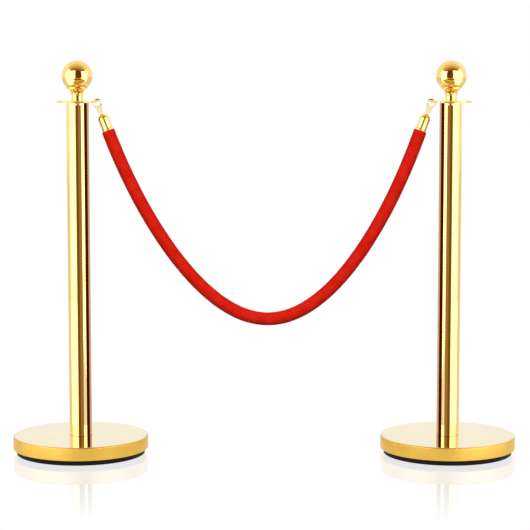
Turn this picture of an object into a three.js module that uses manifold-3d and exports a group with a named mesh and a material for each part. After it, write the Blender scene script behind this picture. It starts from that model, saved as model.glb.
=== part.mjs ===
// A pair of ball-top rope stanchions joined by one hanging velvet rope with a snap hook at each end.
// Millimetres, +Z up. The origin is on the floor, midway between the two posts; the posts stand on X.
import * as THREE from 'three';
import { mergeVertices } from 'three/addons/utils/BufferGeometryUtils.js';
import Module from 'manifold-3d';

const wasm = await Module();
wasm.setup();

// ---------------------------------------------------------------- driving dimensions
const GAP = 0.3; // clearance between pieces that touch on the real object
const POST_X = 422.5; // each post's axis, left and right of the middle

const TUBE_R = 25.5; // two-inch post tube
const TUBE_WALL = 1.3;
const PLATE_TOP = 810; // upper face of the rope plate
const PLATE_T = 4;
const PLATE_R = 47.9;
const HOOK_HOLE_R = 6.9; // the four holes that the rope's hooks go through
const HOOK_HOLE_AT = 36.9; // from the post's axis

const RING_R = 147.7; // rubber ring under the base
const RING_H = 11.8;
const BASE_SIDES = 32; // the ring's and the weight's facets lie together
const COVER_R = 155; // base cover at the bottom of its wall
const COVER_BOTTOM = 12.1;
const COVER_TOP = 42.2; // flat top of the base cover
const COVER_FLAT_R = 151.6;
const COVER_T = 1.4;
const COVER_HOLE_R = 8.6;

const NECK_R = 13.1;
const CUP_RIM_R = 25.2;
const CUP_TOP = 841.3;
const BALL_R = 35.4;
const BALL_Z = 865.3;
const BALL_WALL = 2;

const BOLT_R = 7.8; // M16 bolt through the base
const STUD_R = 5; // M10 stud through the finial
const STUD_BORE_R = 5.3;

const TILT = THREE.MathUtils.degToRad(21); // lean of the hook and ferrule away from vertical
const END_X = 367.9; // top of each ferrule, from the middle
const END_Z = 778.9;
const FERRULE_L = 38.3;
const FERRULE_R = 12.4;
const MOUTH_R = 13.6; // flared mouth of the ferrule

const WIRE_R = 2.2; // the hook's bow
const BOW_R = 8.5; // centreline of the bow
const BOW_CENTRE = 27; // along the hook's own axis, up from the top of the ferrule
const NOSE_END = 21.2;
const GATE_REACH = 13.35; // the gate's tip, from its pin
const BODY_T = 8; // the hook's cast body
const SLOT_T = 4.6; // slot that the gate swings in
const GATE_T = 4;
const PIN_ACROSS = -2.2; // the gate's pin, across and along the hook's own axis
const PIN_ALONG = 11.5;
const PIN_R = 1.4;
const HUB_R = 3.3;
const STEM_R = 2.5; // the swivel's stem

const ROPE_R = 14.9;
const CORE_R = 11;
const ROPE_SIDES = 10;
const ROPE_STEPS = 26;
// The stiff rope hangs in a curve that is a little fuller on its left. Its centreline rises from the lowest
// point by these amounts times powers 2, 3, 4, 5 and 6 of the distance across, measured in reaches.
const ROPE_END_X = 353.95;
const ROPE_LOW_X = 8.1;
const ROPE_LOW_Z = 311.1;
const ROPE_REACH = 350;
const ROPE_RISE = [420.6, 17.5, -50, 4, 51];

// ---------------------------------------------------------------- materials
const gold = (roughness) =>
  new THREE.MeshStandardMaterial({ color: 0xe8b64c, metalness: 1, roughness });
const steel = () => new THREE.MeshStandardMaterial({ color: 0xb9bcc0, metalness: 1, roughness: 0.35 });
const castIron = () => new THREE.MeshStandardMaterial({ color: 0x2e2e30, metalness: 0.6, roughness: 0.8 });
const rubber = () => new THREE.MeshStandardMaterial({ color: 0x17120f, metalness: 0, roughness: 0.85 });
const velvet = () => new THREE.MeshStandardMaterial({ color: 0xc01410, metalness: 0, roughness: 0.9 });
const cotton = () => new THREE.MeshStandardMaterial({ color: 0xd8cdb6, metalness: 0, roughness: 0.95 });

// ---------------------------------------------------------------- solid modelling helpers
function toSolid(geometry) {
  const bare = geometry.index ? geometry.clone() : geometry;
  bare.deleteAttribute('normal');
  bare.deleteAttribute('uv');
  const merged = mergeVertices(bare, 1e-4);
  return new wasm.Manifold(
    new wasm.Mesh({
      numProp: 3,
      vertProperties: new Float32Array(merged.attributes.position.array),
      triVerts: new Uint32Array(merged.index.array),
    }),
  );
}

function toGeometry(solid) {
  const mesh = solid.getMesh();
  const geometry = new THREE.BufferGeometry();
  geometry.setAttribute('position', new THREE.BufferAttribute(new Float32Array(mesh.vertProperties), 3));
  geometry.setIndex(new THREE.BufferAttribute(new Uint32Array(mesh.triVerts), 1));
  geometry.computeVertexNormals();
  return geometry;
}

function cut(geometry, ...tools) {
  let solid = toSolid(geometry);
  for (const tool of tools) {
    solid = solid.subtract(toSolid(tool));
  }
  return toGeometry(solid);
}

function join(...geometries) {
  let solid = toSolid(geometries[0]);
  for (const geometry of geometries.slice(1)) {
    solid = solid.add(toSolid(geometry));
  }
  return toGeometry(solid);
}

function overlap(first, second) {
  return toGeometry(toSolid(first).intersect(toSolid(second)));
}

function piece(name, geometry, material) {
  const mesh = new THREE.Mesh(geometry, material);
  mesh.name = name;
  return mesh;
}

// Turns a profile of [radius, height] points about +Z.
function turned(profile, sides) {
  const points = profile.map(([radius, height]) => new THREE.Vector2(radius, height));
  return new THREE.LatheGeometry(points, sides).rotateX(Math.PI / 2);
}

// Turns a closed ring section: the profile ends where it starts.
function ring(profile, sides) {
  return turned([...profile, profile[0]], sides);
}

// Points on an ellipse, from one angle to another in degrees, anticlockwise from +radius.
function arc(centreR, centreZ, radiusR, radiusZ, from, to, steps) {
  const points = [];
  for (let i = 0; i <= steps; i += 1) {
    const angle = THREE.MathUtils.degToRad(from + ((to - from) * i) / steps);
    points.push([centreR + radiusR * Math.cos(angle), centreZ + radiusZ * Math.sin(angle)]);
  }
  return points;
}

function cylinder(radius, bottom, top, sides) {
  return new THREE.CylinderGeometry(radius, radius, top - bottom, sides)
    .rotateX(Math.PI / 2)
    .translate(0, 0, (bottom + top) / 2);
}

// A cylinder along Y, centred on a point of the XZ plane.
function crossPin(radius, length, x, z, sides) {
  return new THREE.CylinderGeometry(radius, radius, length, sides).translate(x, 0, z);
}

// Extrudes an outline drawn in the XZ plane to a thickness centred on Y = 0.
function slab(outline, thickness) {
  return new THREE.ExtrudeGeometry(outline, { depth: thickness, bevelEnabled: false, curveSegments: 5 })
    .translate(0, 0, -thickness / 2)
    .rotateX(Math.PI / 2);
}

function box(low, high) {
  const size = high.map((value, i) => value - low[i]);
  return new THREE.BoxGeometry(...size).translate(
    (low[0] + high[0]) / 2,
    (low[1] + high[1]) / 2,
    (low[2] + high[2]) / 2,
  );
}

function circleShape(radius, sides) {
  const points = [];
  for (let i = 0; i < sides; i += 1) {
    const angle = (2 * Math.PI * i) / sides;
    points.push(new THREE.Vector2(radius * Math.cos(angle), radius * Math.sin(angle)));
  }
  return new THREE.Shape(points);
}

function alongPath(shape, path, steps) {
  return new THREE.ExtrudeGeometry(shape, { steps, extrudePath: path, bevelEnabled: false });
}

// ---------------------------------------------------------------- one post's pieces
// Ring of an L section: a pad under the base weight and a rim that the cover stands on.
function rubberRing() {
  const padInner = 126;
  const rimInner = 143.8;
  const padT = 3;
  return ring(
    [
      [padInner, 0],
      [RING_R - 0.8, 0],
      [RING_R, 0.8],
      [RING_R, RING_H],
      [rimInner, RING_H],
      [rimInner, padT],
      [padInner, padT],
    ],
    BASE_SIDES,
  );
}

// Cast disc with a central boss; the bolt's head sits in a recess below.
function baseWeight() {
  const discR = 143.4;
  const bossR = 36;
  const bottom = 3 + GAP;
  const discTop = 21;
  const bossTop = COVER_TOP - COVER_T - GAP;
  const recessR = 20;
  const recessTop = 18.2;
  const boreR = 8.8;
  return ring(
    [
      [recessR, bottom],
      [discR, bottom],
      [discR, discTop - 2],
      [discR - 2, discTop],
      [bossR + 6, discTop],
      [bossR, discTop + 6],
      [bossR, bossTop],
      [boreR, bossTop],
      [boreR, recessTop],
      [recessR, recessTop],
    ],
    BASE_SIDES,
  );
}

// Pressed cover: flat polished top, rolled shoulder, slightly flared wall and an inward lip on the ring.
function baseCover() {
  const shoulder = 2.6;
  const lipInner = 145;
  const outer = [
    [COVER_FLAT_R - shoulder, COVER_TOP],
    ...arc(COVER_FLAT_R, COVER_TOP - shoulder, shoulder, shoulder, 70, 10, 2),
    [COVER_R, COVER_BOTTOM + 1],
    [COVER_R - 1, COVER_BOTTOM],
  ];
  const inner = [
    [lipInner, COVER_BOTTOM],
    [lipInner, COVER_BOTTOM + COVER_T],
    [COVER_R - COVER_T - 1, COVER_BOTTOM + COVER_T],
    [COVER_FLAT_R + shoulder - COVER_T, COVER_TOP - shoulder - COVER_T],
    [COVER_FLAT_R - shoulder, COVER_TOP - COVER_T],
  ];
  return ring(
    [
      [COVER_HOLE_R, COVER_TOP - COVER_T],
      [COVER_HOLE_R, COVER_TOP],
      ...outer,
      ...inner,
    ].reverse(),
    40,
  );
}

function baseBolt() {
  const headAcross = 13.8;
  const headBottom = 4.8;
  const headTop = 14.8;
  const tip = 84;
  return join(
    cylinder(headAcross, headBottom, headTop, 6),
    cylinder(BOLT_R, headTop - 1, tip, 16),
  );
}

function baseWasher() {
  return ring(
    [
      [8.4, 15.1],
      [17, 15.1],
      [17, 17.9],
      [8.4, 17.9],
    ],
    20,
  );
}

function postTube() {
  const bottom = COVER_TOP + GAP;
  const top = PLATE_TOP - PLATE_T - GAP;
  return ring(
    [
      [TUBE_R - TUBE_WALL, bottom],
      [TUBE_R, bottom],
      [TUBE_R, top],
      [TUBE_R - TUBE_WALL, top],
    ],
    32,
  );
}

// Threaded plug welded into an end of the tube.
function tubePlug(bottom, top, boreR) {
  const plugR = TUBE_R - TUBE_WALL - GAP;
  return ring(
    [
      [boreR, bottom],
      [plugR, bottom],
      [plugR, top],
      [boreR, top],
    ],
    20,
  );
}

function ropePlate() {
  const rim = PLATE_T / 2;
  const disc = ring(
    [
      [STUD_BORE_R + GAP, PLATE_TOP - PLATE_T],
      ...arc(PLATE_R - rim, PLATE_TOP - rim, rim, rim, -90, 90, 4),
      [STUD_BORE_R + GAP, PLATE_TOP],
    ],
    32,
  );
  const holes = [];
  for (let i = 0; i < 4; i += 1) {
    const angle = (Math.PI / 2) * i;
    const hole = cylinder(HOOK_HOLE_R, PLATE_TOP - PLATE_T - 1, PLATE_TOP + 1, 14);
    holes.push(hole.translate(HOOK_HOLE_AT * Math.cos(angle), HOOK_HOLE_AT * Math.sin(angle), 0));
  }
  return cut(disc, ...holes);
}

// Neck and flared cup in one casting, with a bore for the stud.
function finialCup() {
  const bottom = PLATE_TOP + GAP;
  return ring(
    [
      [STUD_BORE_R, bottom],
      [NECK_R, bottom],
      ...arc(26.5, 820.5, 26.5 - NECK_R, 17.2, 180, 100, 5),
      [CUP_RIM_R - 0.6, CUP_TOP - 2.6],
      [CUP_RIM_R, CUP_TOP - 1.4],
      [CUP_RIM_R - 0.4, CUP_TOP],
      [STUD_BORE_R, CUP_TOP],
    ],
    24,
  );
}

// Hollow ball, open below where it meets the cup.
function ballFinial() {
  const innerR = BALL_R - BALL_WALL;
  const drop = BALL_Z - CUP_TOP - GAP;
  const outerFrom = -THREE.MathUtils.radToDeg(Math.asin(drop / BALL_R));
  const innerTo = -THREE.MathUtils.radToDeg(Math.asin(drop / innerR));
  return turned(
    [
      ...arc(0, BALL_Z, innerR, innerR, 90, innerTo, 4),
      ...arc(0, BALL_Z, BALL_R, BALL_R, outerFrom, 90, 8),
    ],
    24,
  );
}

// Threaded bush brazed into the ball's opening.
function ballBush() {
  const bottom = CUP_TOP + GAP;
  return ring(
    [
      [STUD_BORE_R, bottom],
      [22.8, bottom],
      [22.8, bottom + 4],
      [11, bottom + 4],
      [11, bottom + 11],
      [STUD_BORE_R, bottom + 11],
    ],
    20,
  );
}

function finialStud() {
  return cylinder(STUD_R, 782, CUP_TOP + 10, 16);
}

// ---------------------------------------------------------------- one rope end, along its own axis
// Across is +X towards the other post, along is +Z, and the top of the ferrule is at zero.
class BowCurve extends THREE.Curve {
  constructor(legStart, noseEnd) {
    super();
    this.rise = BOW_CENTRE - legStart;
    this.half = Math.PI * BOW_R;
    this.total = this.rise + this.half + BOW_CENTRE - noseEnd;
    this.legStart = legStart;
  }

  getPoint(t, target = new THREE.Vector3()) {
    const along = t * this.total;
    if (along < this.rise) {
      return target.set(BOW_R, 0, this.legStart + along);
    }
    if (along < this.rise + this.half) {
      const angle = (along - this.rise) / BOW_R;
      return target.set(BOW_R * Math.cos(angle), 0, BOW_CENTRE + BOW_R * Math.sin(angle));
    }
    return target.set(-BOW_R, 0, BOW_CENTRE - (along - this.rise - this.half));
  }
}

// Cast body, fixed leg and bow in one; slotted for the gate and bored for the swivel's stem.
function hookBody() {
  const outline = new THREE.Shape();
  outline.moveTo(-5.3, 1.8);
  outline.lineTo(5.3, 1.8);
  outline.lineTo(5.7, 6);
  outline.quadraticCurveTo(6.4, 11, 8.8, 15.5);
  outline.lineTo(10.4, 20);
  outline.lineTo(BOW_R - 1.6, 24);
  outline.absarc(0, BOW_CENTRE, BOW_R - WIRE_R, -0.55, -1.95, true);
  outline.lineTo(-5.4, 17.6);
  outline.lineTo(-7.2, 14);
  outline.lineTo(-6.6, 8);
  const block = slab(outline, BODY_T);
  const wire = alongPath(circleShape(WIRE_R, 8), new BowCurve(17, NOSE_END), 16);
  const collar = cylinder(4.7, GAP, 3, 18);
  const slotFloor = PIN_ALONG - HUB_R - 0.6;
  // The nose ends on a curve round the gate's pin, so that the gate's tip swings past it.
  const tipSweep = overlap(
    crossPin(GATE_REACH + GAP, BODY_T, PIN_ACROSS, PIN_ALONG, 64),
    box([-12, -BODY_T / 2, 16], [-5, BODY_T / 2, 28]),
  );
  return cut(
    join(block, cut(wire, tipSweep), collar),
    box([-9, -SLOT_T / 2, slotFloor], [1.8, SLOT_T / 2, 22]),
    crossPin(PIN_R + GAP, BODY_T + 2, PIN_ACROSS, PIN_ALONG, 14),
    cylinder(STEM_R + GAP, -1, 6.3, 14),
  );
}

// Sprung arm that shuts the hook: a hub round the pin, a bar, and a lip behind the hook's nose.
function hookGate() {
  const hub = crossPin(HUB_R, GATE_T, PIN_ACROSS, PIN_ALONG, 16);
  const bar = new THREE.Shape();
  const tipFrom = THREE.MathUtils.degToRad(128);
  const tipTo = THREE.MathUtils.degToRad(106.6);
  bar.moveTo(PIN_ACROSS - 3.2, PIN_ALONG - 0.6);
  bar.absarc(PIN_ACROSS, PIN_ALONG, GATE_REACH, tipFrom, tipTo, true);
  bar.lineTo(-5.95, 25.9);
  bar.lineTo(-4.8, 25.9);
  bar.lineTo(-5.2, 21);
  bar.lineTo(PIN_ACROSS + 2.6, PIN_ALONG + 2);
  const coilPocket = crossPin(HUB_R + 1.4, 2, PIN_ACROSS, PIN_ALONG, 16).translate(0, 1.4, 0);
  return cut(
    join(hub, slab(bar, GATE_T)),
    coilPocket,
    crossPin(PIN_R + 0.25, GATE_T + 2, PIN_ACROSS, PIN_ALONG, 14),
  );
}

function gatePin() {
  const headR = 2.1;
  const inside = BODY_T / 2 + GAP;
  const outside = inside + 0.7;
  return turned(
    [
      [0, -outside],
      [headR, -outside],
      [headR, -inside],
      [PIN_R, -inside],
      [PIN_R, inside],
      [headR, inside],
      [headR, outside],
      [0, outside],
    ],
    14,
  )
    .rotateX(Math.PI / 2)
    .translate(PIN_ACROSS, 0, PIN_ALONG);
}

// Two turns of wire about the gate's pin.
class CoilCurve extends THREE.Curve {
  getPoint(t, target = new THREE.Vector3()) {
    const coilR = 2.25;
    const turns = 2;
    const angle = 2 * Math.PI * turns * t;
    return target.set(
      PIN_ACROSS + coilR * Math.cos(angle),
      0.9 + 0.9 * t,
      PIN_ALONG + coilR * Math.sin(angle),
    );
  }
}

function gateSpring() {
  return alongPath(circleShape(0.22, 5), new CoilCurve(), 18);
}

// Headed stem that lets the hook turn in the ferrule's crown.
function swivelStem() {
  return turned(
    [
      [0, -8.9],
      [5.4, -8.9],
      [5.4, -5.9],
      [STEM_R, -5.9],
      [STEM_R, 6],
      [0, 6],
    ],
    16,
  );
}

function swivelWasher() {
  return ring(
    [
      [STEM_R + GAP, -5.6],
      [5.6, -5.6],
      [5.6, -4.3],
      [STEM_R + GAP, -4.3],
    ],
    16,
  );
}

// Bullet-shaped cap on the rope, open at its mouth and bored at its crown.
function ferrule(screwSide) {
  const crown = -11;
  const wall = 1.3;
  const shell = ring(
    [
      [MOUTH_R - wall, -FERRULE_L],
      [MOUTH_R, -FERRULE_L],
      [FERRULE_R + 0.2, -FERRULE_L + 5],
      [FERRULE_R, crown - 4],
      ...arc(0, crown, FERRULE_R - 0.1, -crown, 0, 72, 4),
      [STEM_R + GAP, 0],
      [STEM_R + GAP, -4],
      [6, -4],
      [FERRULE_R - 0.1 - wall, crown - 1],
      [FERRULE_R - wall, -FERRULE_L + 5],
    ],
    20,
  );
  const screwHole = cylinder(1.9, 8, 16, 12)
    .rotateX((screwSide * Math.PI) / 2)
    .translate(0, 0, -FERRULE_L + 9);
  return cut(shell, screwHole);
}

// Small grub screw that pinches the rope's end inside the ferrule.
function ferruleScrew(screwSide) {
  return cylinder(1.6, 11.2, 12.6, 12)
    .rotateX((screwSide * Math.PI) / 2)
    .translate(0, 0, -FERRULE_L + 9);
}

// Bound and glued end of the rope inside the ferrule.
function ropeEnd() {
  return cylinder(10.9, -FERRULE_L + 0.4, -14, 20);
}

// ---------------------------------------------------------------- the rope's free stretch
function ropeHeight(x) {
  const across = (x - ROPE_LOW_X) / ROPE_REACH;
  return ROPE_RISE.reduce((height, rise, i) => height + rise * across ** (i + 2), ROPE_LOW_Z);
}

function ropeCurve() {
  const stretches = 40;
  const points = [];
  for (let i = 0; i <= stretches; i += 1) {
    const x = ROPE_END_X * ((2 * i) / stretches - 1);
    points.push(new THREE.Vector3(x, 0, ropeHeight(x)));
  }
  return new THREE.CatmullRomCurve3(points, false, 'centripetal');
}

function velvetSleeve() {
  const section = circleShape(ROPE_R, ROPE_SIDES);
  section.holes.push(circleShape(CORE_R + GAP, ROPE_SIDES));
  return alongPath(section, ropeCurve(), ROPE_STEPS);
}

function ropeCore() {
  return alongPath(circleShape(CORE_R, ROPE_SIDES), ropeCurve(), ROPE_STEPS);
}

// ---------------------------------------------------------------- assembly
function post(side, x) {
  const group = new THREE.Group();
  const footPlugBottom = COVER_TOP + 2 * GAP;
  const tubeTop = PLATE_TOP - PLATE_T - GAP;
  group.add(
    piece(`${side}_rubber_ring`, rubberRing(), rubber()),
    piece(`${side}_base_weight`, baseWeight(), castIron()),
    piece(`${side}_base_cover`, baseCover(), gold(0.25)),
    piece(`${side}_base_bolt`, baseBolt(), steel()),
    piece(`${side}_base_washer`, baseWasher(), steel()),
    piece(`${side}_post_tube`, postTube(), gold(0.12)),
    piece(`${side}_foot_plug`, tubePlug(footPlugBottom, footPlugBottom + 30, BOLT_R + GAP), steel()),
    piece(`${side}_top_plug`, tubePlug(tubeTop - 30, tubeTop, STUD_BORE_R), steel()),
    piece(`${side}_rope_plate`, ropePlate(), gold(0.15)),
    piece(`${side}_finial_cup`, finialCup(), gold(0.15)),
    piece(`${side}_ball_finial`, ballFinial(), gold(0.1)),
    piece(`${side}_ball_bush`, ballBush(), steel()),
    piece(`${side}_finial_stud`, finialStud(), steel()),
  );
  group.position.x = x;
  return group;
}

// The left end leans left as it rises; the right end is the same piece turned half round.
function ropeEndFittings(side, halfTurn) {
  const screwSide = halfTurn ? -1 : 1;
  const fittings = new THREE.Group();
  fittings.add(
    piece(`${side}_hook_body`, hookBody(), gold(0.2)),
    piece(`${side}_hook_gate`, hookGate(), gold(0.2)),
    piece(`${side}_gate_pin`, gatePin(), gold(0.3)),
    piece(`${side}_gate_spring`, gateSpring(), steel()),
    piece(`${side}_swivel_stem`, swivelStem(), gold(0.3)),
    piece(`${side}_swivel_washer`, swivelWasher(), steel()),
    piece(`${side}_ferrule`, ferrule(screwSide), gold(0.15)),
    piece(`${side}_ferrule_screw`, ferruleScrew(screwSide), steel()),
    piece(`${side}_rope_end`, ropeEnd(), cotton()),
  );
  fittings.position.set(-END_X, 0, END_Z);
  fittings.rotation.y = -TILT;
  const turn = new THREE.Group();
  turn.add(fittings);
  turn.rotation.z = halfTurn ? Math.PI : 0;
  return turn;
}

const stanchions = new THREE.Group();
stanchions.add(post('left', -POST_X), post('right', POST_X));
stanchions.add(ropeEndFittings('left', false), ropeEndFittings('right', true));
stanchions.add(piece('velvet_rope', velvetSleeve(), velvet()));
stanchions.add(piece('rope_core', ropeCore(), cotton()));

export default stanchions;
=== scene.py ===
"""A pair of gold ball-top stanchions and their red velvet rope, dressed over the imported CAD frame.

Metres, +Z up, the camera looks along +Y. Every visible CAD node is replaced by a finer piece of the same
size; the inner nodes keep their CAD shape and get a better material.
"""

import math

import bmesh
import bpy
from mathutils import Matrix, Vector, noise


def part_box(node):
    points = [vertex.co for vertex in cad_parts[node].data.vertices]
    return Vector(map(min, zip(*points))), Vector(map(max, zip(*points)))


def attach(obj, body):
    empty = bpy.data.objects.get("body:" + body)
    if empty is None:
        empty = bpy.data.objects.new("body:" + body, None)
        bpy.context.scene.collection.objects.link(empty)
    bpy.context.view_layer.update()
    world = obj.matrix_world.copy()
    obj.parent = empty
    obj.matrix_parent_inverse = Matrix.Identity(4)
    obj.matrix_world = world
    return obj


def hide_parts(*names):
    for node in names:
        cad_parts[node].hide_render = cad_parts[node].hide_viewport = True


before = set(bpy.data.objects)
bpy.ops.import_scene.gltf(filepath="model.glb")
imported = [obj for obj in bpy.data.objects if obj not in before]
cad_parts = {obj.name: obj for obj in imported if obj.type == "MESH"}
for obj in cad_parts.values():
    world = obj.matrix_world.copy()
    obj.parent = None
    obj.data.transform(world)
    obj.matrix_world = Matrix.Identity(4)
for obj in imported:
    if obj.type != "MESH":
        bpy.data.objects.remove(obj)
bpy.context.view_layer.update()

MM = 0.001
SIDES = ("left", "right")
WAY = {"left": -1, "right": 1}  # which way along X each post stands

# ---------------------------------------------------------------- sizes read from the frame
plate_low, plate_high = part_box("left_rope_plate")
tube_low, tube_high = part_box("left_post_tube")
cover_low, cover_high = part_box("left_base_cover")
ring_low, ring_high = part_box("left_rubber_ring")
cup_low, cup_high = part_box("left_finial_cup")
ball_low, ball_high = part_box("left_ball_finial")

POST_X = -(tube_low.x + tube_high.x) / 2
TUBE_R = (tube_high.x - tube_low.x) / 2
PLATE_R = (plate_high.x - plate_low.x) / 2
PLATE_T = plate_high.z - plate_low.z
COVER_R = (cover_high.x - cover_low.x) / 2
RING_R = (ring_high.x - ring_low.x) / 2
BALL_R = (ball_high.x - ball_low.x) / 2
BALL_Z = ball_high.z - BALL_R

# ---------------------------------------------------------------- sizes of details inside those boxes
TUBE_WALL = 1.3 * MM
COVER_WALL = 1.4 * MM
NECK_R = 13.1 * MM
HOLE_R = 6.9 * MM  # of the four holes in a rope plate
HOLE_AT = 36.9 * MM

# The hook and ferrule share a leaning axis, and their heights are measured along it from the ferrule's top.
TILT = math.radians(21)
END_X = 367.9 * MM
END_Z = 778.9 * MM
FERRULE_L = 38.3 * MM
FERRULE_R = 12.4 * MM
MOUTH_R = 13.6 * MM
SCREW_UP = 9 * MM  # from the ferrule's mouth to its grub screw
BOW_R = 8.5 * MM  # to the middle of the bow's wire
BOW_CENTRE = 27 * MM
WIRE_R = 2.2 * MM
PIN_ACROSS = -2.2 * MM
PIN_ALONG = 11.5 * MM

ROPE_R = 14.9 * MM
ROPE_END_X = 353.95 * MM
ROPE_LOW_X = 8.1 * MM  # where it hangs lowest
ROPE_LOW_Z = 311.1 * MM
ROPE_REACH = 350 * MM
# The centreline rises from its lowest point by these amounts times powers 2, 3, 4, 5 and 6 of the distance
# across, measured in reaches.
ROPE_RISE = [420.6 * MM, 17.5 * MM, -50 * MM, 4 * MM, 51 * MM]

# ---------------------------------------------------------------- the camera and the studio
CAMERA_X = 1.8 * MM
CAMERA_DISTANCE = 4.8
CAMERA_HEIGHT = 1.024
CAMERA_DOWN = math.radians(6.993)
FOCAL_LENGTH = 143.89  # in millimetres, for a sensor 36 mm wide

FLOOR_GLOSS = 0.21
GLOSS_FADE = (0.35, 0.7)  # distances from a post's axis between which the floor's gloss fades out
FLOOR_REACH = 13
DOME_R = 12.5
STRIPE_FORWARD = 0.03  # how far in front of a post's axis the cards for its stripes stand
UNDER_PLATE = 0.8055  # where the cards beside a tube end, just under its rope plate

WHITE = (1, 1, 1)
DARK_BROWN = (0.18, 0.085, 0.018)
BROWN = (0.34, 0.205, 0.115)
MAROON = (0.065, 0.004, 0.001)
DIM_GOLD = (0.62, 0.52, 0.5)
NECK_BROWN = (0.2, 0.1, 0.03)
BALL_BROWN = (0.13, 0.045, 0.01)
ROOM_BROWN = (0.16, 0.065, 0.02)


# ---------------------------------------------------------------- camera
def make_camera():
    data = bpy.data.cameras.new("camera")
    data.lens = FOCAL_LENGTH
    data.sensor_width = 36
    data.dof.use_dof = False
    camera = bpy.data.objects.new("camera", data)
    camera.location = (CAMERA_X, -CAMERA_DISTANCE, CAMERA_HEIGHT)
    camera.rotation_euler = (math.pi / 2 - CAMERA_DOWN, 0, 0)
    bpy.context.scene.collection.objects.link(camera)
    bpy.context.scene.camera = camera


# ---------------------------------------------------------------- mesh helpers
def new_object(name, mesh, *materials):
    obj = bpy.data.objects.new(name, mesh)
    bpy.context.scene.collection.objects.link(obj)
    for material in materials:
        mesh.materials.append(material)
    return obj


def smooth(mesh, sharp_angle=35):
    mesh.shade_smooth()
    mesh.set_sharp_from_angle(angle=math.radians(sharp_angle))


def flatten_shading(obj):
    """Lets the wide faces set the shading, so that flat walls reflect truly up to their edges."""
    modifier = obj.modifiers.new("normals", "WEIGHTED_NORMAL")
    modifier.keep_sharp = True
    apply_modifiers(obj)


def arc(centre, radius, start, end, steps):
    """Points round a centre, from one angle to another in degrees. radius is one number or two."""
    across, up = radius if isinstance(radius, tuple) else (radius, radius)
    points = []
    for step in range(steps + 1):
        angle = math.radians(start + (end - start) * step / steps)
        points.append((centre[0] + across * math.cos(angle), centre[1] + up * math.sin(angle)))
    return points


def rounded(corners, steps=6):
    """A closed outline of (x, y, fillet) corners with each corner rounded by its fillet."""
    points = []
    for i, (x, y, fillet) in enumerate(corners):
        here = Vector((x, y))
        if fillet == 0:
            points.append((x, y))
            continue
        before = Vector(corners[i - 1][:2]) - here
        after = Vector(corners[(i + 1) % len(corners)][:2]) - here
        half = before.angle(after) / 2
        reach = min(fillet / math.tan(half), 0.49 * before.length, 0.49 * after.length)
        centre = here + (before.normalized() + after.normalized()).normalized() * reach / math.cos(half)
        first = here + before.normalized() * reach - centre
        last = here + after.normalized() * reach - centre
        turn = math.atan2(first.x * last.y - first.y * last.x, first.dot(last))
        for step in range(steps + 1):
            angle = turn * step / steps
            c, s = math.cos(angle), math.sin(angle)
            points.append((centre.x + first.x * c - first.y * s, centre.y + first.x * s + first.y * c))
    return points


def finished_mesh(name, bm, sharp_angle=35):
    """Turns a bmesh into a smooth mesh with its normals outwards."""
    bmesh.ops.recalc_face_normals(bm, faces=bm.faces)
    mesh = bpy.data.meshes.new(name)
    bm.to_mesh(mesh)
    bm.free()
    smooth(mesh, sharp_angle)
    return mesh


def lathe(name, profile, segments=160, closed=True):
    """A mesh turned about +Z from (radius, height) points. closed joins the last point to the first."""
    bm = bmesh.new()
    rings = []
    for radius, height in profile:
        if radius < 1e-9:
            rings.append([bm.verts.new((0, 0, height))])
            continue
        ring = []
        for i in range(segments):
            angle = 2 * math.pi * i / segments
            ring.append(bm.verts.new((radius * math.cos(angle), radius * math.sin(angle), height)))
        rings.append(ring)
    pairs = list(zip(rings, rings[1:]))
    if closed:
        pairs.append((rings[-1], rings[0]))
    for low, high in pairs:
        if len(low) == 1 and len(high) == 1:
            continue
        for i in range(segments):
            j = (i + 1) % segments
            if len(low) == 1:
                bm.faces.new((low[0], high[j], high[i]))
            elif len(high) == 1:
                bm.faces.new((low[i], low[j], high[0]))
            else:
                bm.faces.new((low[i], low[j], high[j], high[i]))
    return finished_mesh(name, bm)


def sweep(name, centres, radius_at, sides, sharp_angle=35):
    """A closed round tube along points of the XZ plane. radius_at(i, angle) is its radius round point i."""
    bm = bmesh.new()
    rings = []
    for i, centre in enumerate(centres):
        before = Vector(centres[max(i - 1, 0)])
        after = Vector(centres[min(i + 1, len(centres) - 1)])
        along = (after - before).normalized()
        out = Vector((-along.y, along.x))
        ring = []
        for k in range(sides):
            angle = 2 * math.pi * k / sides
            radius = radius_at(i, angle)
            side = radius * math.cos(angle)
            spot = (centre[0] + out.x * side, radius * math.sin(angle), centre[1] + out.y * side)
            ring.append(bm.verts.new(spot))
        rings.append(ring)
    for low, high in zip(rings, rings[1:]):
        for k in range(sides):
            j = (k + 1) % sides
            bm.faces.new((low[k], low[j], high[j], high[k]))
    bm.faces.new(rings[0])
    bm.faces.new(rings[-1])
    return finished_mesh(name, bm, sharp_angle)


def plate_of(name, outlines, thickness, edge, steps=4):
    """A flat plate in the XY plane: an outer outline, holes inside it, and all its edges rounded."""
    curve = bpy.data.curves.new(name, "CURVE")
    curve.dimensions = "2D"
    curve.fill_mode = "BOTH"
    curve.extrude = thickness / 2 - edge
    curve.bevel_depth = edge
    curve.bevel_resolution = steps
    curve.offset = -edge
    for outline in outlines:
        spline = curve.splines.new("POLY")
        spline.points.add(len(outline) - 1)
        for point, (x, y) in zip(spline.points, outline):
            point.co = (x, y, 0, 1)
        spline.use_cyclic_u = True
    obj = bpy.data.objects.new(name, curve)
    bpy.context.scene.collection.objects.link(obj)
    bpy.context.view_layer.update()
    mesh = bpy.data.meshes.new_from_object(obj.evaluated_get(bpy.context.evaluated_depsgraph_get()))
    bpy.data.objects.remove(obj)
    bm = bmesh.new()
    bm.from_mesh(mesh)
    bmesh.ops.remove_doubles(bm, verts=bm.verts, dist=1e-6)
    return finished_mesh(name, bm)


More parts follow.
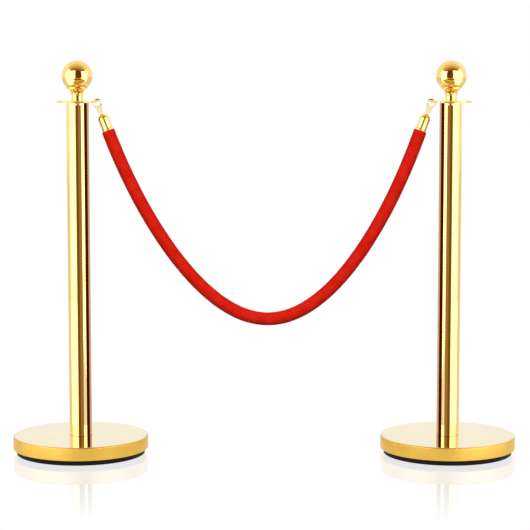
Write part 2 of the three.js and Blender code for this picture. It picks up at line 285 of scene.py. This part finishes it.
def boolean(obj, tool, operation):
    """Joins a tool's mesh to an object, or cuts it away, and drops the tool."""
    modifier = obj.modifiers.new("boolean", "BOOLEAN")
    modifier.operation = operation
    modifier.object = tool
    modifier.solver = "EXACT"
    apply_modifiers(obj)
    bpy.data.objects.remove(tool)


def apply_modifiers(obj):
    evaluated = obj.evaluated_get(bpy.context.evaluated_depsgraph_get())
    mesh = bpy.data.meshes.new_from_object(evaluated)
    obj.modifiers.clear()
    obj.data = mesh


def place(obj, matrix):
    obj.data.transform(matrix)


# ---------------------------------------------------------------- materials
class Graph:
    """A material's node tree with short calls."""

    def __init__(self, name):
        self.material = bpy.data.materials.new(name)
        self.material.use_nodes = True
        self.tree = self.material.node_tree
        self.shader = self.tree.nodes["Principled BSDF"]

    def node(self, kind):
        return self.tree.nodes.new(kind)

    def link(self, source, output, target, entry):
        self.tree.links.new(source.outputs[output], target.inputs[entry])

    def noise(self, scale, detail, stretch=None):
        """Noise in the piece's own coordinates, squeezed along an axis where stretch is above 1."""
        texture = self.node("ShaderNodeTexNoise")
        texture.inputs["Scale"].default_value = scale
        texture.inputs["Detail"].default_value = detail
        coordinates = self.node("ShaderNodeTexCoord")
        if stretch:
            mapping = self.node("ShaderNodeMapping")
            mapping.inputs["Scale"].default_value = stretch
            self.link(coordinates, "Object", mapping, "Vector")
            self.link(mapping, "Vector", texture, "Vector")
        else:
            self.link(coordinates, "Object", texture, "Vector")
        return texture

    def roughness(self, noise_node, low, high):
        spread = self.node("ShaderNodeMapRange")
        spread.inputs["From Min"].default_value = 0.3
        spread.inputs["From Max"].default_value = 0.7
        spread.inputs["To Min"].default_value = low
        spread.inputs["To Max"].default_value = high
        self.link(noise_node, "Fac", spread, "Value")
        self.link(spread, "Result", self.shader, "Roughness")

    def colour(self, noise_node, first, second, start=0.3, end=0.7):
        ramp = self.node("ShaderNodeValToRGB")
        ramp.color_ramp.elements[0].position = start
        ramp.color_ramp.elements[0].color = (*first, 1)
        ramp.color_ramp.elements[1].position = end
        ramp.color_ramp.elements[1].color = (*second, 1)
        self.link(noise_node, "Fac", ramp, "Fac")
        self.link(ramp, "Color", self.shader, "Base Color")

    def bump(self, noise_node, distance, strength):
        made = self.node("ShaderNodeBump")
        made.inputs["Distance"].default_value = distance
        made.inputs["Strength"].default_value = strength
        self.link(noise_node, "Fac", made, "Height")
        self.link(made, "Normal", self.shader, "Normal")


def metal(name, first, second, low, high):
    """A metal whose colour and roughness drift a little between two values each."""
    graph = Graph(name)
    graph.shader.inputs["Metallic"].default_value = 1
    smudge = graph.noise(18, 4)
    graph.colour(smudge, first, second)
    graph.roughness(smudge, low, high)
    return graph


def polished_gold():
    return metal("polished_gold", (0.95, 0.70, 0.26), (0.97, 0.74, 0.29), 0.03, 0.05).material


def polish_and_painted_highlight_gold():
    """The polished flat top of the base, paler than its wall: the polish is real, and the paler colour is a
    painted highlight for the white it mirrors at a low angle.
    """
    graph = metal("polish_and_painted_highlight_gold", (0.89, 0.76, 0.49), (0.92, 0.79, 0.52), 0.04, 0.07)
    graph.bump(graph.noise(900, 2), 0.002 * MM, 0.25)
    return graph.material


def brushed_gold():
    graph = metal("brushed_gold", (0.76, 0.45, 0.075), (0.80, 0.49, 0.09), 0.3, 0.4)
    graph.bump(graph.noise(260, 3, stretch=(1, 1, 9)), 0.02 * MM, 0.5)
    return graph.material


def cast_gold():
    graph = metal("cast_gold", (0.92, 0.79, 0.49), (0.96, 0.84, 0.55), 0.1, 0.2)
    graph.bump(graph.noise(1500, 3), 0.01 * MM, 0.4)
    return graph.material


def zinc_steel():
    graph = metal("zinc_steel", (0.55, 0.56, 0.57), (0.66, 0.67, 0.68), 0.3, 0.45)
    graph.bump(graph.noise(1200, 2), 0.01 * MM, 0.4)
    return graph.material


def black_iron():
    graph = Graph("black_iron")
    grain = graph.noise(500, 4)
    graph.colour(grain, (0.035, 0.035, 0.037), (0.06, 0.06, 0.062))
    graph.roughness(grain, 0.5, 0.75)
    graph.bump(grain, 0.2 * MM, 0.5)
    return graph.material


def black_rubber():
    graph = Graph("black_rubber")
    grain = graph.noise(700, 3)
    graph.colour(grain, (0.004, 0.0036, 0.003), (0.008, 0.007, 0.006))
    graph.roughness(grain, 0.5, 0.7)
    graph.shader.inputs["Specular IOR Level"].default_value = 0.15
    graph.bump(grain, 0.05 * MM, 0.4)
    return graph.material


def red_velvet():
    graph = Graph("red_velvet")
    shader = graph.shader
    shader.inputs["Roughness"].default_value = 0.85
    shader.inputs["Specular IOR Level"].default_value = 0.02
    shader.inputs["Sheen Weight"].default_value = 0.05
    shader.inputs["Sheen Roughness"].default_value = 0.35
    shader.inputs["Sheen Tint"].default_value = (1.0, 0.30, 0.22, 1)
    nap = graph.noise(55, 4)
    graph.colour(nap, (0.52, 0.007, 0.002), (0.64, 0.016, 0.007), 0.25, 0.75)
    pile = graph.noise(1400, 2)
    graph.bump(pile, 0.6 * MM, 0.5)
    return graph.material


def raw_cotton():
    graph = Graph("raw_cotton")
    graph.shader.inputs["Roughness"].default_value = 0.95
    fibres = graph.noise(900, 3)
    graph.colour(fibres, (0.60, 0.54, 0.43), (0.76, 0.70, 0.60))
    graph.bump(fibres, 0.4 * MM, 0.5)
    return graph.material


# ---------------------------------------------------------------- the rope
def rope_height(x):
    """How high the rope's centreline hangs at one place along X."""
    across = (x - ROPE_LOW_X) / ROPE_REACH
    return ROPE_LOW_Z + sum(rise * across ** (i + 2) for i, rise in enumerate(ROPE_RISE))


def route_points(count):
    """Points of the centreline, closest together at the two ferrules."""
    points = []
    for step in range(count + 1):
        x = -ROPE_END_X * math.cos(math.pi * step / count)
        points.append(Vector((x, rope_height(x))))
    return points


def distances_along(points):
    travelled = [0.0]
    for a, b in zip(points, points[1:]):
        travelled.append(travelled[-1] + (b - a).length)
    return travelled


def make_rope(material):
    """The velvet sleeve: a faintly lumpy tube with a rounded shoulder and a tucked end at each ferrule."""
    centres = route_points(460)
    travelled = distances_along(centres)
    shoulder = 3.2 * MM
    tuck_r = 11.4 * MM
    lump = 0.25 * MM

    def radius_at(i, angle):
        x, z = centres[i]
        from_end = min(travelled[i], travelled[-1] - travelled[i])
        inset = max(0.0, 1 - from_end / shoulder)
        spot = Vector((x * 60, math.cos(angle) * 0.9, math.sin(angle) * 0.9 + z * 30))
        return tuck_r + (ROPE_R - tuck_r) * math.sqrt(1 - inset * inset) + lump * noise.noise(spot)

    mesh = sweep("rope_sleeve", centres, radius_at, 72, sharp_angle=50)
    rope = new_object("rope_sleeve", mesh, material)
    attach(rope, "rope")
    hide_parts("velvet_rope")


# ---------------------------------------------------------------- one post's pieces, about its own axis
def tube_mesh():
    inner = TUBE_R - TUBE_WALL
    edge = 0.4 * MM
    corners = [
        (inner, tube_low.z, edge),
        (TUBE_R, tube_low.z, edge),
        (TUBE_R, tube_high.z, edge),
        (inner, tube_high.z, edge),
    ]
    return lathe("tube", rounded(corners, 3), 192)


def cover_mesh():
    """Flat top, rolled shoulder, flared wall and an inward lip: a 1.4 mm pressing."""
    top, bottom = cover_high.z, cover_low.z
    hole = 8.6 * MM
    rim = COVER_R - 0.8 * MM
    shoulder = 3.4 * MM
    corners = [
        (hole, top, 0),
        (rim, top, shoulder),
        (COVER_R, bottom + 1 * MM, 1.2 * MM),
        (COVER_R - 1 * MM, bottom, 0.4 * MM),
        (COVER_R - 10 * MM, bottom, 0),
        (COVER_R - 10 * MM, bottom + COVER_WALL, 0),
        (COVER_R - COVER_WALL - 1 * MM, bottom + COVER_WALL, 0.5 * MM),
        (rim - COVER_WALL, top - COVER_WALL, shoulder - COVER_WALL),
        (hole, top - COVER_WALL, 0),
    ]
    return lathe("cover", rounded(corners, 8), 256)


def ring_mesh():
    pad_inner = 126 * MM
    rim_inner = 143.8 * MM
    corners = [
        (pad_inner, 0, 0.5 * MM),
        (RING_R - 1 * MM, 0, 1.2 * MM),
        (RING_R - 0.1 * MM, 5 * MM, 1 * MM),
        (RING_R - 0.8 * MM, 5.8 * MM, 0.4 * MM),
        (RING_R, 6.6 * MM, 1 * MM),
        (RING_R, ring_high.z, 1 * MM),
        (rim_inner, ring_high.z, 0.4 * MM),
        (rim_inner, 3 * MM, 0.4 * MM),
        (pad_inner, 3 * MM, 0.5 * MM),
    ]
    return lathe("ring", rounded(corners, 5), 192)


def plate_mesh():
    outer = arc((0, 0), PLATE_R, 0, 357.5, 143)
    outlines = [outer, arc((0, 0), 5.6 * MM, 0, 350, 35)]
    for i in range(4):
        turn = math.pi / 2 * i
        outlines.append(arc((HOLE_AT * math.cos(turn), HOLE_AT * math.sin(turn)), HOLE_R, 0, 352.5, 47))
    mesh = plate_of("plate", outlines, PLATE_T, PLATE_T / 2 - 0.02 * MM, 5)
    mesh.transform(Matrix.Translation((0, 0, (plate_low.z + plate_high.z) / 2)))
    return mesh


def cup_mesh():
    """Neck with a small foot, and a flare that opens to the rim under the ball."""
    bore = 5.3 * MM
    rim = (cup_high.x - cup_low.x) / 2
    top = cup_high.z
    profile = [(bore, cup_low.z), (NECK_R + 0.3 * MM, cup_low.z), (NECK_R, cup_low.z + 0.4 * MM)]
    profile += arc((26.5 * MM, 820.5 * MM), (26.5 * MM - NECK_R, 17.2 * MM), 180, 100, 28)
    profile += arc((rim - 1.2 * MM, top - 1.4 * MM), (1.2 * MM, 1.4 * MM), -70, 90, 8)
    profile += [(rim - 3 * MM, top - 0.2 * MM), (bore, top - 0.2 * MM)]
    return lathe("cup", profile, 160)


def ball_mesh():
    inner = BALL_R - 2 * MM
    drop = BALL_Z - ball_low.z
    outer_start = -math.degrees(math.asin(drop / BALL_R))
    inner_end = -math.degrees(math.asin(drop / inner))
    profile = arc((0, BALL_Z), inner, 90, inner_end, 24)
    profile += arc((0, BALL_Z), BALL_R, outer_start, 90, 64)
    profile[0] = (0, profile[0][1])
    profile[-1] = (0, profile[-1][1])
    return lathe("ball", profile, 160, closed=False)


def paint_flat_top(mesh, material):
    """Gives the flat top of the base cover its own polish and its paler colour, which is a painted
    highlight.
    """
    mesh.materials.append(material)
    for face in mesh.polygons:
        if face.normal.z > 0.9 and face.center.z > cover_high.z - 0.4 * MM:
            face.material_index = 1


def make_post(side, looks):
    x = WAY[side] * POST_X
    pieces = [
        ("tube", tube_mesh(), "post_tube", looks["polished"], "polished_gold"),
        ("base_shell", cover_mesh(), "base_cover", looks["brushed"], "base_gold"),
        ("foot_ring", ring_mesh(), "rubber_ring", looks["rubber"], "black_rubber"),
        ("hook_plate", plate_mesh(), "rope_plate", looks["polished"], "polished_gold"),
        ("neck_cup", cup_mesh(), "finial_cup", looks["polished"], "polished_gold"),
        ("ball", ball_mesh(), "ball_finial", looks["polished"], "polished_gold"),
    ]
    for name, mesh, node, material, slot in pieces:
        piece = new_object(f"{side}_{name}", mesh, material)
        place(piece, Matrix.Translation((x, 0, 0)))
        if name == "base_shell":
            # the flat top's paler gold is a painted highlight over a real polish
            paint_flat_top(mesh, looks["polish_and_painted_highlight"])
        flatten_shading(piece)
        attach(piece, "posts")
        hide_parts(f"{side}_{node}")


# ---------------------------------------------------------------- the rope's end fittings, along their axis
def hook_outline():
    """The cast body's side view: two cheeks and a web that ends under the bow's opening."""
    corners = [
        (-5.4 * MM, 1.8 * MM, 1 * MM),
        (5.4 * MM, 1.8 * MM, 1 * MM),
        (5.8 * MM, 7 * MM, 6 * MM),
        (8.8 * MM, 15.5 * MM, 5 * MM),
        (10.4 * MM, 20 * MM, 2 * MM),
        (7.2 * MM, 24 * MM, 0.9 * MM),
    ]
    opening = arc((0, BOW_CENTRE), BOW_R - WIRE_R, -32, -112, 10)
    corners += [(x, y, 0) for x, y in opening]
    corners += [(-5.6 * MM, 17.4 * MM, 1 * MM), (-7.1 * MM, 14 * MM, 1.2 * MM), (-6.5 * MM, 8 * MM, 3 * MM)]
    return rounded(corners, 5)


def stand_up(mesh):
    """Turns a mesh drawn in the XY plane so that it stands in the XZ plane."""
    mesh.transform(Matrix.Rotation(math.pi / 2, 4, "X"))
    return mesh


def bow_centres():
    """The bow's wire: up one side, over the top and down to the nose, which is its thin end."""
    centres = [(BOW_R, z * MM) for z in (17.5, 19, 21, 23, 25)]
    centres += arc((0, BOW_CENTRE), BOW_R, 0, 180, 36)
    centres += [(-BOW_R, z * MM) for z in (26, 25, 24, 23.2)]
    return centres


def hook_body_object(name, material):
    body = new_object(name, stand_up(plate_of(name, [hook_outline()], 8 * MM, 0.9 * MM, 5)), material)
    centres = bow_centres()
    radii = [WIRE_R] * (len(centres) - 2) + [WIRE_R * 0.93, WIRE_R * 0.72]
    bow = new_object(name + "_bow", sweep(name + "_bow", centres, lambda i, angle: radii[i], 28))
    boolean(body, bow, "UNION")
    axis = 0.0001 * MM
    collar_r = 4.7 * MM
    corners = [
        (axis, 0.4 * MM, 0),
        (collar_r, 0.4 * MM, 0.5 * MM),
        (collar_r, 3 * MM, 0.2 * MM),
        (axis, 3 * MM, 0),
    ]
    collar = new_object(name + "_collar", lathe(name, rounded(corners, 4), 48))
    boolean(body, collar, "UNION")
    slot_outline = [(-12 * MM, 7.6 * MM), (1.8 * MM, 7.6 * MM), (1.8 * MM, 22 * MM), (-12 * MM, 22 * MM)]
    slot = new_object(name + "_slot", stand_up(plate_of(name, [slot_outline], 4.6 * MM, 0.05 * MM, 0)))
    boolean(body, slot, "DIFFERENCE")
    smooth(body.data)
    return body


def gate_object(name, material):
    """The gate's arm: round its rivet at the bottom, and slim where it meets the nose."""
    outline = arc((PIN_ACROSS, PIN_ALONG), 3.3 * MM, -200, 30, 18)
    outline += [(-1.2 * MM, 14.6 * MM), (-5.3 * MM, 21 * MM)]
    outline += [(-4.9 * MM, 25.6 * MM), (-5.9 * MM, 25.6 * MM)]
    outline += arc((PIN_ACROSS, PIN_ALONG), 13.3 * MM, 107, 128, 6)
    mesh = stand_up(plate_of(name, [outline], 4 * MM, 0.6 * MM, 3))
    return new_object(name, mesh, material)


def rivet_object(name, material):
    head_r = 2.1 * MM
    head_h = 0.9 * MM
    shank_r = 1.4 * MM
    inside = 4.1 * MM
    profile = [(0, -inside - head_h)]
    profile += arc((0, -inside), (head_r, head_h), -80, 0, 8)
    profile += [(shank_r, -inside), (shank_r, inside)]
    profile += arc((0, inside), (head_r, head_h), 0, 80, 8)
    profile += [(0, inside + head_h)]
    mesh = stand_up(lathe(name, profile, 32, closed=False))
    mesh.transform(Matrix.Translation((PIN_ACROSS, 0, PIN_ALONG)))
    return new_object(name, mesh, material)


def ferrule_object(name, screw_side, material):
    """Bullet-shaped cap with a flared mouth and a hole for its screw."""
    wall = 1.3 * MM
    crown = -11 * MM
    stem_r = 2.8 * MM
    profile = [(MOUTH_R - wall, -FERRULE_L)]
    profile += arc((MOUTH_R - 0.6 * MM, -FERRULE_L + 0.6 * MM), 0.6 * MM, -90, 0, 5)
    profile += arc((MOUTH_R + 1.2 * MM, -FERRULE_L + 5.6 * MM), (2.4 * MM, 4 * MM), 235, 180, 8)
    profile += [(FERRULE_R, crown - 4 * MM)]
    profile += arc((0, crown), (FERRULE_R, -crown), 0, 76, 28)
    profile += [(stem_r, -0.02 * MM), (stem_r, -4 * MM), (6 * MM, -4 * MM)]
    profile += [(FERRULE_R - wall, crown - 1 * MM), (FERRULE_R - wall, -FERRULE_L + 5 * MM)]
    ferrule = new_object(name, lathe(name, profile, 96), material)
    hole_r = 1.9 * MM
    hole = [(0, 8 * MM), (hole_r, 8 * MM), (hole_r, 16 * MM), (0, 16 * MM)]
    tool = new_object(name + "_hole", lathe(name, hole, 32, closed=False))
    place(tool, Matrix.Rotation(screw_side * math.pi / 2, 4, "X"))
    place(tool, Matrix.Translation((0, 0, -FERRULE_L + SCREW_UP)))
    boolean(ferrule, tool, "DIFFERENCE")
    smooth(ferrule.data)
    return ferrule


def screw_object(name, screw_side, material):
    """Grub screw with a hexagon socket."""
    screw_r = 1.6 * MM
    inner, outer = 11.2 * MM, 12.6 * MM
    profile = [(0, inner), (screw_r, inner), (screw_r, 12.4 * MM), (1.4 * MM, outer), (0, outer)]
    screw = new_object(name, lathe(name, profile, 32, closed=False), material)
    socket = [(0, 11.8 * MM), (0.85 * MM, 11.8 * MM), (0.85 * MM, 13 * MM), (0, 13 * MM)]
    tool = new_object(name + "_socket", lathe(name, socket, 6, closed=False))
    boolean(screw, tool, "DIFFERENCE")
    place(screw, Matrix.Rotation(screw_side * math.pi / 2, 4, "X"))
    place(screw, Matrix.Translation((0, 0, -FERRULE_L + SCREW_UP)))
    smooth(screw.data)
    return screw


def make_fittings(side, looks):
    """One end's hook and ferrule. Both ends have their screw on the same face of the pair."""
    half_turn = Matrix.Rotation(math.pi if side == "right" else 0, 4, "Z")
    where = half_turn @ Matrix.Translation((-END_X, 0, END_Z)) @ Matrix.Rotation(-TILT, 4, "Y")
    screw_side = -WAY[side]
    made = [
        (hook_body_object(f"{side}_snap_body", looks["cast"]), "hook", "hook_body", "hook_brass"),
        (gate_object(f"{side}_snap_gate", looks["cast"]), "gate", "hook_gate", "hook_brass"),
        (rivet_object(f"{side}_snap_rivet", looks["cast"]), "hook", "gate_pin", "hook_brass"),
        (ferrule_object(f"{side}_end_cap", screw_side, looks["polished"]), "", "ferrule", "polished_gold"),
        (screw_object(f"{side}_cap_screw", screw_side, looks["steel"]), "", "ferrule_screw", "zinc_steel"),
    ]
    for piece, body, node, slot in made:
        place(piece, where)
        flatten_shading(piece)
        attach(piece, f"{side}_{body}" if body else "rope")
        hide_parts(f"{side}_{node}")


# ---------------------------------------------------------------- inner pieces keep their CAD shape
def dress_inner_nodes(looks):
    by_ending = {
        "base_weight": looks["iron"],
        "base_bolt": looks["steel"],
        "base_washer": looks["steel"],
        "foot_plug": looks["steel"],
        "top_plug": looks["steel"],
        "ball_bush": looks["steel"],
        "finial_stud": looks["steel"],
        "gate_spring": looks["steel"],
        "swivel_stem": looks["cast"],
        "swivel_washer": looks["steel"],
        "rope_end": looks["cotton"],
    }
    by_node = {"rope_core": looks["cotton"]}
    for side in SIDES:
        for ending, material in by_ending.items():
            by_node[f"{side}_{ending}"] = material
    for node, material in by_node.items():
        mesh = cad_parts[node].data
        mesh.materials.clear()
        mesh.materials.append(material)


# ---------------------------------------------------------------- studio
def emission(name, colour, strength):
    material = bpy.data.materials.new(name)
    material.use_nodes = True
    nodes = material.node_tree.nodes
    nodes.clear()
    light = nodes.new("ShaderNodeEmission")
    light.inputs["Color"].default_value = (*colour, 1)
    light.inputs["Strength"].default_value = strength
    output = nodes.new("ShaderNodeOutputMaterial")
    material.node_tree.links.new(light.outputs["Emission"], output.inputs["Surface"])
    return material


def blend_in(material, second, output_name):
    """Mixes a second shader node over an emission material and gives back the mix."""
    tree = material.node_tree
    glow = next(n for n in tree.nodes if n.type == "EMISSION")
    output = next(n for n in tree.nodes if n.type == "OUTPUT_MATERIAL")
    mix = tree.nodes.new("ShaderNodeMixShader")
    tree.links.new(glow.outputs["Emission"], mix.inputs[1])
    tree.links.new(second.outputs[output_name], mix.inputs[2])
    tree.links.new(mix.outputs["Shader"], output.inputs["Surface"])
    return mix


def stage_mesh(name, corners, material):
    """One flat face of the studio."""
    mesh = bpy.data.meshes.new(name)
    mesh.from_pydata(corners, [], [tuple(range(len(corners)))])
    obj = new_object(name, mesh, material)
    return obj


def reflection_card(name, corners, material):
    """A card that only polished metal sees."""
    card = stage_mesh(name, corners, material)
    card.visible_camera = False
    card.visible_diffuse = False
    card.visible_shadow = False
    card.visible_transmission = False
    return card


def upright_card(name, start, end, low, high, colour, strength=1.0):
    """A vertical card between two points of the floor plan."""
    corners = [(*start, low), (*end, low), (*end, high), (*start, high)]
    return reflection_card(name, corners, emission(name, colour, strength))


def level_card(name, plan, height, colour, strength=1.0):
    corners = [(x, y, height) for x, y in plan]
    return reflection_card(name, corners, emission(name, colour, strength))


def floor_card(name, plan, layer, colour, strength=1.0):
    """A patch of the floor as polished metal mirrors it, just under it. Higher layers cover lower ones."""
    return level_card(name, plan, (layer - 6) * 0.4 * MM, colour, strength)


def make_one_sided(card):
    """Lets everything through the card's back, so only the metal it faces mirrors it."""
    material = card.data.materials[0]
    side = material.node_tree.nodes.new("ShaderNodeNewGeometry")
    clear = material.node_tree.nodes.new("ShaderNodeBsdfTransparent")
    mix = blend_in(material, clear, "BSDF")
    material.node_tree.links.new(side.outputs["Backfacing"], mix.inputs["Fac"])


def floor_material():
    """White with a mirror gloss that is faint near the posts and fades out away from them."""
    material = emission("floor_look", WHITE, 1.01)
    tree = material.node_tree
    gloss = tree.nodes.new("ShaderNodeBsdfGlossy")
    gloss.inputs["Color"].default_value = (1, 1, 1, 1)
    gloss.inputs["Roughness"].default_value = 0.03
    mix = blend_in(material, gloss, "BSDF")
    coordinates = tree.nodes.new("ShaderNodeTexCoord")
    fold = tree.nodes.new("ShaderNodeVectorMath")
    fold.operation = "ABSOLUTE"
    distance = tree.nodes.new("ShaderNodeVectorMath")
    distance.operation = "DISTANCE"
    distance.inputs[1].default_value = (POST_X, 0, 0)
    fade = tree.nodes.new("ShaderNodeMapRange")
    fade.inputs["From Min"].default_value = GLOSS_FADE[0]
    fade.inputs["From Max"].default_value = GLOSS_FADE[1]
    fade.inputs["To Min"].default_value = FLOOR_GLOSS
    fade.inputs["To Max"].default_value = 0
    tree.links.new(coordinates.outputs["Object"], fold.inputs[0])
    tree.links.new(fold.outputs["Vector"], distance.inputs[0])
    tree.links.new(distance.outputs["Value"], fade.inputs["Value"])
    tree.links.new(fade.outputs["Result"], mix.inputs["Fac"])
    return material


def make_floor():
    """The floor, which polished metal doesn't see, and the white card that it mirrors instead."""
    far = FLOOR_REACH
    square = [(-far, -far), (far, -far), (far, far), (-far, far)]
    floor = stage_mesh("floor", [(x, y, 0) for x, y in square], floor_material())
    floor.visible_diffuse = False
    floor.visible_glossy = False
    floor_card("card_floor_all", square, 0, WHITE)


def make_dome():
    bpy.ops.mesh.primitive_uv_sphere_add(segments=48, ring_count=24, radius=DOME_R)
    dome = bpy.context.object
    dome.name = "dome"
    dome.data.materials.append(emission("dome_white", WHITE, 1.0))
    dome.visible_diffuse = False
    dome.visible_shadow = False


def make_windows(flip):
    """Tall bright panels round one side of the pair, from behind the camera to beside the post."""
    side = "left" if flip < 0 else "right"
    plan = [(0.9, -2.456), (1.5, -2.456), (3.0, -2.2), (3.0, -1.4), (3.0, -0.65), (3.0, -0.2), (3.0, 0.2)]
    plan = [(flip * x, y) for x, y in plan]
    strengths = [1.6, 2.3, 2.3, 2.1, 1.6, 1.3]
    for i, strength in enumerate(strengths):
        upright_card(f"card_window_{side}_{i}", plan[i], plan[i + 1], 0, 3.1, WHITE, strength)
    glow = [(0.55, -0.34), (0.9, -2.456), (3.0, -2.2), (3.0, 0.2), (0.8, 0.02)]
    floor_card(f"card_floor_{side}", [(flip * x, y) for x, y in glow], 1, WHITE, 1.9)
    back = [(0.62, 0.02), (3.0, 0.2), (8.0, 0.6), (8.0, 8.0), (0.5, 8.0), (0.5, 0.2)]
    floor_card(f"card_floor_back_{side}", [(flip * x, y) for x, y in back], 2, (1, 0.96, 0.9), 0.82)
    near = arc((flip * POST_X, 0), 0.34, 0, 350, 35)
    floor_card(f"card_floor_near_{side}", near, 3, (1, 0.98, 0.94))


def make_post_cards(flip):
    """Cards close to one post, for what it mirrors: stripes along its tube, a strip down its neck and ball.

    Places along X are offsets from the post's axis, away from the middle of the pair.
    """
    side = "left" if flip < 0 else "right"
    foot = cover_high.z
    in_front = [
        ("dark", -0.0037, 0.004, STRIPE_FORWARD, foot, 0.8, DARK_BROWN),
        ("brown", -0.0155, -0.0037, STRIPE_FORWARD, foot, 0.8, BROWN),
        ("neck", -0.078, 0.036, 0.12, 0.806, 0.829, NECK_BROWN),
        ("ball", -0.108, 0.016, 0.15, 0.829, 0.985, BALL_BROWN),
    ]
    for name, near, far, forward, low, high, colour in in_front:
        start, end = [(flip * (POST_X + x), -forward) for x in (far, near)][::flip]
        make_one_sided(upright_card(f"card_{name}_{side}", start, end, low, high, colour))
    beside = flip * (POST_X - 0.028)
    beside_tube = [("maroon", -0.0237, -0.0094, MAROON), ("rear", -0.0094, 0.05, DIM_GOLD)]
    for name, front, back, colour in beside_tube:
        start, end = [(beside, y) for y in (front, back)][::flip]
        make_one_sided(upright_card(f"card_{name}_{side}", start, end, foot, UNDER_PLATE, colour))
    ledges = [("near", -0.05, -0.085, (0.55, 0.36, 0.08)), ("far", -0.085, -0.25, (0.66, 0.49, 0.12))]
    for name, front, back, colour in ledges:
        inner, outer = [flip * (POST_X + x) for x in (-0.12, 0.03)]
        plan = [(inner, front), (outer, front), (outer, back), (inner, back)]
        level_card(f"card_ledge_{name}_{side}", plan, 0.803, colour)


def make_middle_cards():
    """Cards between the posts, and the dim wall behind the camera."""
    upright_card("card_middle_front", (CAMERA_X, -0.7), (CAMERA_X, -0.096), 0, 0.1, WHITE)
    right_half = [(0.08, 0.1), (0.2, 0.25), (0.38, 0.33), (0.3, 0.8)]
    left_half = [(-x, y) for x, y in reversed(right_half)]
    floor_card("card_floor_rear", right_half + left_half, 4, DIM_GOLD)
    wall_y = -2.45
    upright_card("card_behind_camera", (-0.75, wall_y), (0.75, wall_y), 0.9, 3.1, ROOM_BROWN)
    upright_card("card_behind_camera_low", (-0.35, wall_y), (0.35, wall_y), 0.2, 0.9, ROOM_BROWN)


def make_ceiling():
    """A level card overhead that darkens from straight above the posts towards the camera."""
    material = emission("ceiling_glow", WHITE, 1.0)
    front, back, reach, height = -2.5, 1.0, 3, 3.15
    tree = material.node_tree
    coordinates = tree.nodes.new("ShaderNodeTexCoord")
    split = tree.nodes.new("ShaderNodeSeparateXYZ")
    spread = tree.nodes.new("ShaderNodeMapRange")
    spread.inputs["From Min"].default_value = front
    spread.inputs["From Max"].default_value = back
    ramp = tree.nodes.new("ShaderNodeValToRGB")
    stops = [
        (0.0, (0.18, 0.05, 0.014)),
        (0.13, (0.27, 0.10, 0.04)),
        (0.4, (0.55, 0.32, 0.12)),
        (0.63, (0.79, 0.61, 0.31)),
        (0.9, (1.0, 0.93, 0.68)),
    ]
    elements = ramp.color_ramp.elements
    while len(elements) < len(stops):
        elements.new(0.5)
    for element, (position, colour) in zip(elements, stops):
        element.position = position
        element.color = (*colour, 1)
    glow = next(n for n in tree.nodes if n.type == "EMISSION")
    tree.links.new(coordinates.outputs["Object"], split.inputs["Vector"])
    tree.links.new(split.outputs["Y"], spread.inputs["Value"])
    tree.links.new(spread.outputs["Result"], ramp.inputs["Fac"])
    tree.links.new(ramp.outputs["Color"], glow.inputs["Color"])
    plan = [(-reach, front), (reach, front), (reach, back), (-reach, back)]
    reflection_card("card_ceiling", [(x, y, height) for x, y in plan], material)


def make_stage():
    make_floor()
    make_dome()
    make_ceiling()
    make_middle_cards()
    for flip in (-1, 1):
        make_windows(flip)
        make_post_cards(flip)


def area_light(name, location, size, power):
    """A soft square light aimed at the middle of the pair. Polished metal mirrors cards and no lights."""
    target = Vector((0, 0, 0.4))
    data = bpy.data.lights.new(name, "AREA")
    data.shape = "SQUARE"
    data.size = size
    data.energy = power
    light = bpy.data.objects.new(name, data)
    light.location = location
    light.rotation_mode = "QUATERNION"
    light.rotation_quaternion = (target - Vector(location)).to_track_quat("-Z", "Y")
    light.visible_glossy = False
    bpy.context.scene.collection.objects.link(light)


def make_lights():
    world = bpy.data.worlds.new("studio")
    world.use_nodes = True
    background = world.node_tree.nodes["Background"]
    background.inputs["Color"].default_value = (1, 1, 1, 1)
    background.inputs["Strength"].default_value = 0.3
    bpy.context.scene.world = world
    area_light("key_left", (-1.6, -3.9, 2.9), 1.6, 125)
    area_light("key_right", (1.6, -3.9, 2.9), 1.6, 125)
    area_light("back", (0, 3.5, 2.5), 2, 80)


def set_colour_management():
    view = bpy.context.scene.view_settings
    view.view_transform = "Standard"
    view.look = "None"
    view.exposure = 0
    view.gamma = 1


# ---------------------------------------------------------------- build
make_camera()
looks = {
    "polished": polished_gold(),
    # the base top's polish, with a painted highlight in its paler colour
    "polish_and_painted_highlight": polish_and_painted_highlight_gold(),
    "brushed": brushed_gold(),
    "cast": cast_gold(),
    "steel": zinc_steel(),
    "iron": black_iron(),
    "rubber": black_rubber(),
    "velvet": red_velvet(),
    "cotton": raw_cotton(),
}
make_rope(looks["velvet"])
for post_side in SIDES:
    make_post(post_side, looks)
    make_fittings(post_side, looks)
dress_inner_nodes(looks)
make_stage()
make_lights()
set_colour_management()
